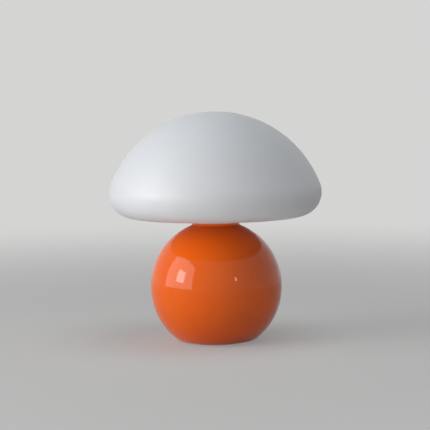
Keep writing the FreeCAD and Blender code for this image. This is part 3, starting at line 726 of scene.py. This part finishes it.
# %% Filament phosphor
def filament_phosphor():
    f = Finish(
        "filament_phosphor", subsurface_weight=0.3, subsurface_scale=0.5 * MM,
        subsurface_radius=(1.0, 0.7, 0.2),
    )
    where = place(f)
    chips = f.add(
        "ShaderNodeTexWave", {"bands_direction": "Z", "wave_profile": "SIN"},
        {"Vector": where, "Scale": 0.31 / MM, "Distortion": 0.6, "Detail": 1.0},
    )
    grain = noise(f, where, 0.3 * MM, detail=2)
    f.feed(
        base_color=blend_colours(
            f, chips * 0.7 + grain * 0.3, (0.78, 0.40, 0.03), (0.88, 0.60, 0.09),
        ),
        roughness=0.42 + grain * 0.2,
    )
    f.feed(normal=bump(f, chips + grain * 0.4, 0.05 * MM))
    return f


# %% [markdown]
# Each finish is made once, under the name of the record's slot that it belongs to, so that a
# piece only has to look up its own.

# %% The finishes by slot
finishes = {
    "zinc_steel": metal(
        "zinc_steel", (0.62, 0.63, 0.66), (0.50, 0.52, 0.55), (0.24, 0.40), 4 * MM,
    ),
    "brass": metal("brass", (0.80, 0.60, 0.27), (0.62, 0.42, 0.16), (0.20, 0.38), 5 * MM),
    "nickel_plate": metal(
        "nickel_plate", (0.68, 0.66, 0.62), (0.58, 0.56, 0.52), (0.14, 0.26), 3 * MM,
    ),
    "cast_iron": cast_iron(),
    "grey_felt": grey_felt(),
    "black_rubber": black_rubber(),
    "clear_silicone": clear_silicone(),
    "black_phenolic": black_phenolic(),
    "white_porcelain": white_porcelain(),
    "clear_glass": clear_glass(),
    "black_glass": black_glass(),
    "solder": metal("solder", (0.60, 0.60, 0.61), (0.42, 0.42, 0.44), (0.30, 0.52), 1.6 * MM),
    "filament_phosphor": filament_phosphor(),
}
print(len(finishes) + 2, "finishes")

# %% [markdown]
# ## The small pieces
#
# The hardware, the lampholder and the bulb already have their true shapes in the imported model,
# but they come as loose triangles with flat shading. Modelling them again would give the same
# shapes, so each one is copied instead, its doubled corners are merged, and it is shaded smooth
# except over its real edges. Then it gets its own finish.

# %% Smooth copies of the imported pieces
def smooth_copy(node, name, sharp=30):
    bm = bmesh.new()
    bm.from_mesh(nodes[node].data)
    bmesh.ops.remove_doubles(bm, verts=bm.verts[:], dist=DOUBLED / 2)
    piece = finish_mesh(bm, name, smooth=sharp)
    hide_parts(node)
    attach(piece, body_of[node])
    dress(piece, finishes[slot_of[node]])
    return piece


SMALL_PIECES = {
    "inlet_grommet": "cable_grommet",
    "base_plate": "dished_plate",
    "foot_pad": "felt_pad",
    "weight": "iron_weight",
    "stem_tube": "stem",
    "stem_nut": "lower_nut",
    "stem_washer": "lower_washer",
    "weight_nut": "middle_nut",
    "earth_tag": "earth_strip",
    "earth_screw": "earth_bolt",
    "neck_cup": "pressed_cup",
    "cup_washer": "upper_washer",
    "cup_nut": "upper_nut",
    "neck_ring": "silicone_ring",
    "holder_cap": "socket_cap",
    "holder_grub_screw": "socket_grub_screw",
    "holder_core": "socket_core",
    "holder_terminals": "socket_terminals",
    "holder_centre_contact": "socket_centre_strip",
    "holder_side_contact": "socket_side_strip",
    "holder_sleeve": "socket_sleeve",
    "holder_barrel": "socket_barrel",
    "bulb_cap": "screw_cap",
    "bulb_insulator": "cap_insulator",
    "bulb_tip": "cap_tip",
    "bulb_glass": "candle_glass",
    "bulb_stem": "glass_stem",
    "bulb_filaments": "filaments",
    "bulb_wires": "support_wires",
}
for node, name in SMALL_PIECES.items():
    piece = smooth_copy(node, name)
    print(name, len(piece.data.polygons), "faces")

# %% [markdown]
# ## Floor, backdrop and light
#
# A plain pale floor runs back into a pale world. Far from the lights such a floor would go dark
# and show a hard horizon. So what the camera and the reflections see of it is evened out: round
# the lamp it is the lit surface, with the lamp's shadow, and a steady pale tone, the world's own,
# takes over from it farther out. The same tone is what the world shows, and its real light is
# only a weak fill.

# %% Floor
PALE = (0.66, 0.66, 0.655, 1)
FLOOR_HALF = 6.0  # half the floor's width
NEAR, FAR = 0.3, 1.6  # the steady tone grows between these distances from the lamp
NEAR_SHARE = 0.35  # and has this share up to the first of them


def shown(graph):
    """1 for the rays that show a surface as it is seen, directly or in or through another."""
    kinds = ("Is Camera Ray", "Is Glossy Ray", "Is Transmission Ray")
    rays = [graph.add("ShaderNodeLightPath", output=kind) for kind in kinds]
    return rays[0].larger(rays[1].larger(rays[2]))


def floor():
    bm = bmesh.new()
    bmesh.ops.create_grid(bm, x_segments=8, y_segments=8, size=FLOOR_HALF)
    piece = finish_mesh(bm, "floor")
    f = Finish("pale_floor", roughness=0.75)
    where = place(f)
    cloud = noise(f, where, 0.35, detail=4)
    f.feed(base_color=blend_colours(f, cloud, (0.50, 0.495, 0.485), (0.54, 0.535, 0.525)))
    distance = f.add("ShaderNodeVectorMath", {"operation": "LENGTH"}, {"Vector": where}, output=1)
    share = f.add(
        "ShaderNodeMapRange", {"interpolation_type": "SMOOTHSTEP"},
        {"Value": distance, "From Min": NEAR, "From Max": FAR, "To Min": NEAR_SHARE, "To Max": 1.0},
    )
    steady = f.add("ShaderNodeEmission", {}, {"Color": PALE, "Strength": 1.0})
    f.show(f.add("ShaderNodeMixShader", {}, {0: shown(f) * share, 1: f.surface, 2: steady}))
    dress(piece, f)
    return piece


print("floor", floor().dimensions.x, "m wide")

# %% World
world = bpy.data.worlds.new("studio")
bpy.context.scene.world = world
world.use_nodes = True
studio = Graph(world.node_tree)
fill = studio.add("ShaderNodeBackground", {}, {"Color": (0.62, 0.66, 0.74), "Strength": 0.09})
backdrop = studio.add("ShaderNodeBackground", {}, {"Color": PALE, "Strength": 1.0})
both = studio.add("ShaderNodeMixShader", {}, {0: shown(studio), 1: fill, 2: backdrop})
studio.add("ShaderNodeOutputWorld", {}, {"Surface": both})
print("world", len(world.node_tree.nodes), "nodes")

# %% [markdown]
# The light is that of a small studio. A large soft panel on the left is the main light, and a
# smaller, brighter one just before it gives the gloss ball its bright patch. Three dim panels,
# from above, from the front and up from the floor, light the opal glass evenly. In a reflection a
# panel adds to what lies behind it, so these three would show in the lacquer as pale shapes with
# hard edges, and they are kept out of it. Two small lights far to the right give the ball its
# sparks.

# %% Lights
def softbox(name, at, aim, size, power, colour, mirrored=True):
    """A lamp behind a rectangular screen. One that isn't mirrored shows in no reflection."""
    data = bpy.data.lights.new(name, "AREA")
    data.shape = "RECTANGLE"
    data.size, data.size_y = size
    data.energy = power
    data.color = colour
    lamp = bpy.data.objects.new(name, data)
    bpy.context.scene.collection.objects.link(lamp)
    lamp.location = at
    lamp.rotation_euler = (Vector(aim) - Vector(at)).to_track_quat("-Z", "Y").to_euler()
    lamp.visible_camera = False
    lamp.visible_glossy = mirrored
    print(name, power, "W")
    return lamp


COOL = (0.96, 0.98, 1.0)
WARM = (1.0, 0.93, 0.87)
SPARK = (1.0, 0.98, 0.94)

softbox("main", (-1.7, -0.8, 0.88), (0, -0.8, 0.88), (2.1, 1.7), 26, (0.99, 0.99, 1.0))
softbox("patch", (-1.69, -0.75, 0.62), (0, -0.75, 0.62), (0.55, 0.6), 7.6, (1.0, 0.99, 0.97))
softbox("above", (0.3, -0.3, 1.8), (0, 0, 0.1), (1.2, 1.2), 11, COOL, mirrored=False)
softbox("front", (-0.9, -2.4, 0.9), (0, 0, 0.18), (3.0, 1.7), 7, (0.97, 0.98, 1.0), mirrored=False)
softbox("below", (-0.2, -0.6, 0.003), (-0.2, -0.6, 1), (1.6, 0.7), 2.6, WARM, mirrored=False)
softbox("high_spark", (1.15, -1.64, 0.62), (0, 0, 0.08), (0.10, 0.20), 0.6, SPARK)
softbox("low_spark", (0.33, -1.97, 0.19), (0, 0, 0.08), (0.05, 0.05), 0.06, SPARK)

# %% [markdown]
# ## Colour
#
# The tone curve stays plain, so that colours come out as they are written.

# %% Colour
bpy.context.scene.view_settings.view_transform = "Standard"
